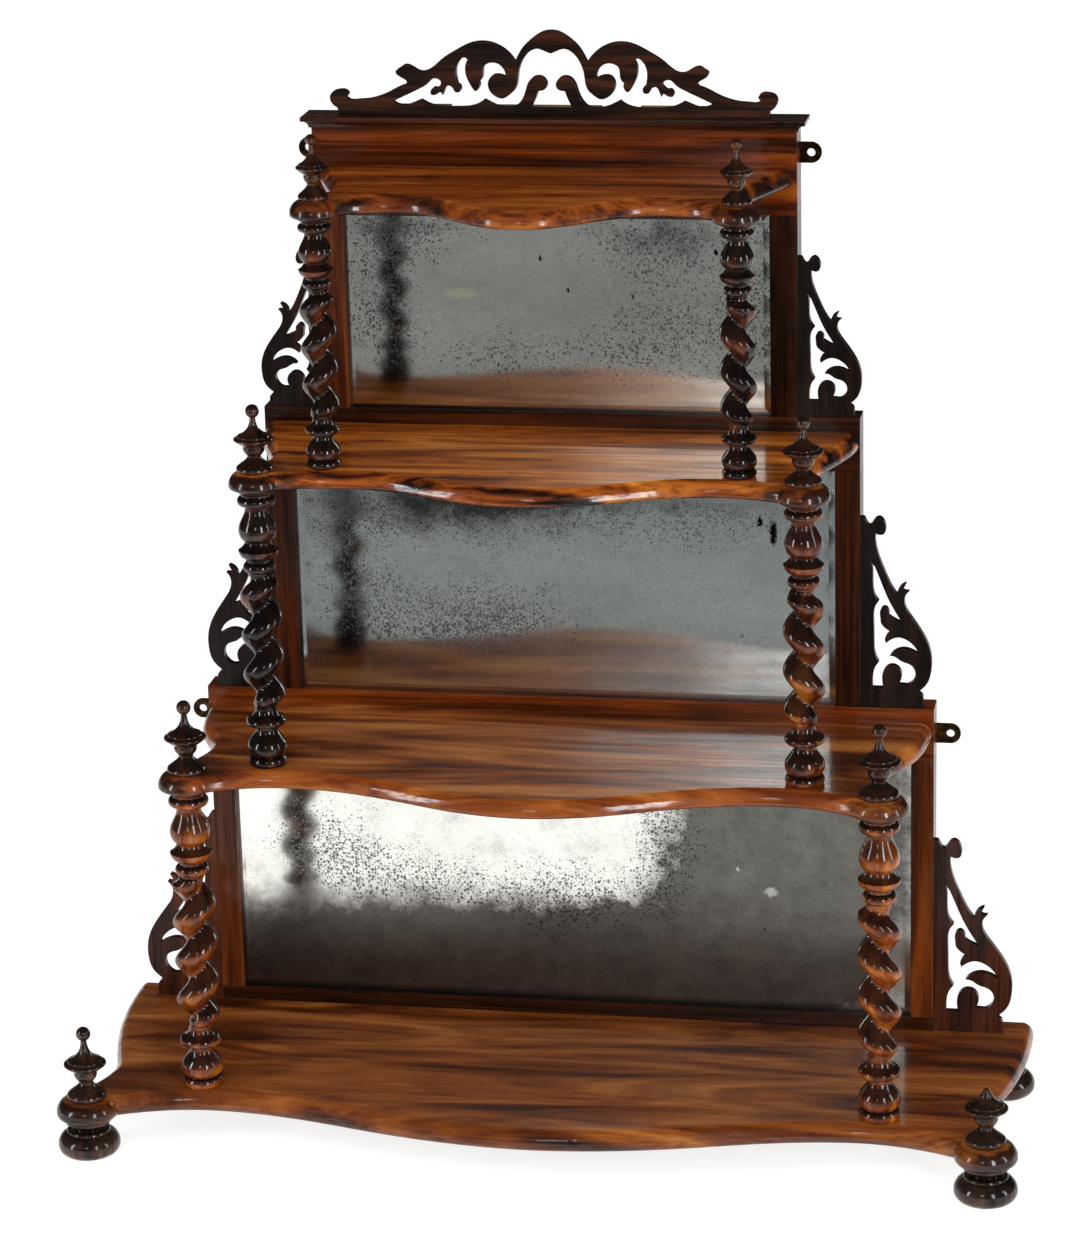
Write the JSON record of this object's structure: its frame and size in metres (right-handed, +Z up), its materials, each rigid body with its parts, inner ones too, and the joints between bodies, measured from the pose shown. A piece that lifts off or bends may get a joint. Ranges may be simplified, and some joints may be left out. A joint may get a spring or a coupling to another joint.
{
  "type": "etagere",
  "caption": "Graduated open-shelf etagere with mirrored back, barley-twist columns, turned finials, bun feet, pierced side brackets and pierced crest.",
  "frame": {"origin": "on the floor under the middle of the overall box", "axes": "+X to the right seen from the front, -Y is the front, +Z up"},
  "size_m": [0.7432, 0.2555, 0.8418],
  "materials": {
    "shelf_rosewood": "french polished",
    "frame_rosewood": "french polished",
    "turned_rosewood": "french polished",
    "fretted_rosewood": "waxed, worn edges",
    "backing_pine": "unpolished, aged",
    "mirror_glass": "old silvering, foxed",
    "bronzed_brass": "dark bronzed",
    "steel_fixings": "aged, dull"
  },
  "bodies": {
    "root": {"backboard_pins": "steel_fixings", "base_finial_left": "turned_rosewood", "base_finial_right": "turned_rosewood", "base_rail": "frame_rosewood", "base_shelf": "shelf_rosewood", "cornice": "frame_rosewood", "crest": "fretted_rosewood", "crest_glue_blocks": "backing_pine", "frieze_board": "frame_rosewood", "front_foot_left": "turned_rosewood", "front_foot_right": "turned_rosewood", "hanging_plate_screws": "steel_fixings", "lower_backboard": "backing_pine", "lower_column_left": "turned_rosewood", "lower_column_right": "turned_rosewood", "lower_fret_left": "fretted_rosewood", "lower_fret_right": "fretted_rosewood", "lower_hanging_plate_left": "bronzed_brass", "lower_hanging_plate_right": "bronzed_brass", "lower_mirror": "mirror_glass", "lower_rail": "frame_rosewood", "lower_stile_left": "frame_rosewood", "lower_stile_right": "frame_rosewood", "middle_backboard": "backing_pine", "middle_column_left": "turned_rosewood", "middle_column_right": "turned_rosewood", "middle_fret_left": "fretted_rosewood", "middle_fret_right": "fretted_rosewood", "middle_mirror": "mirror_glass", "middle_stile_left": "frame_rosewood", "middle_stile_right": "frame_rosewood", "rear_foot_left": "turned_rosewood", "rear_foot_right": "turned_rosewood", "second_finial_left": "turned_rosewood", "second_finial_right": "turned_rosewood", "second_shelf": "shelf_rosewood", "shelf_screws": "steel_fixings", "third_finial_left": "turned_rosewood", "third_finial_right": "turned_rosewood", "third_shelf": "shelf_rosewood", "top_finial_left": "turned_rosewood", "top_finial_right": "turned_rosewood", "top_shelf": "shelf_rosewood", "upper_backboard": "backing_pine", "upper_column_left": "turned_rosewood", "upper_column_right": "turned_rosewood", "upper_fret_left": "fretted_rosewood", "upper_fret_right": "fretted_rosewood", "upper_hanging_plate_left": "bronzed_brass", "upper_hanging_plate_right": "bronzed_brass", "upper_mirror": "mirror_glass", "upper_rail": "frame_rosewood", "upper_stile_left": "frame_rosewood", "upper_stile_right": "frame_rosewood"}
  },
  "joints": []
}
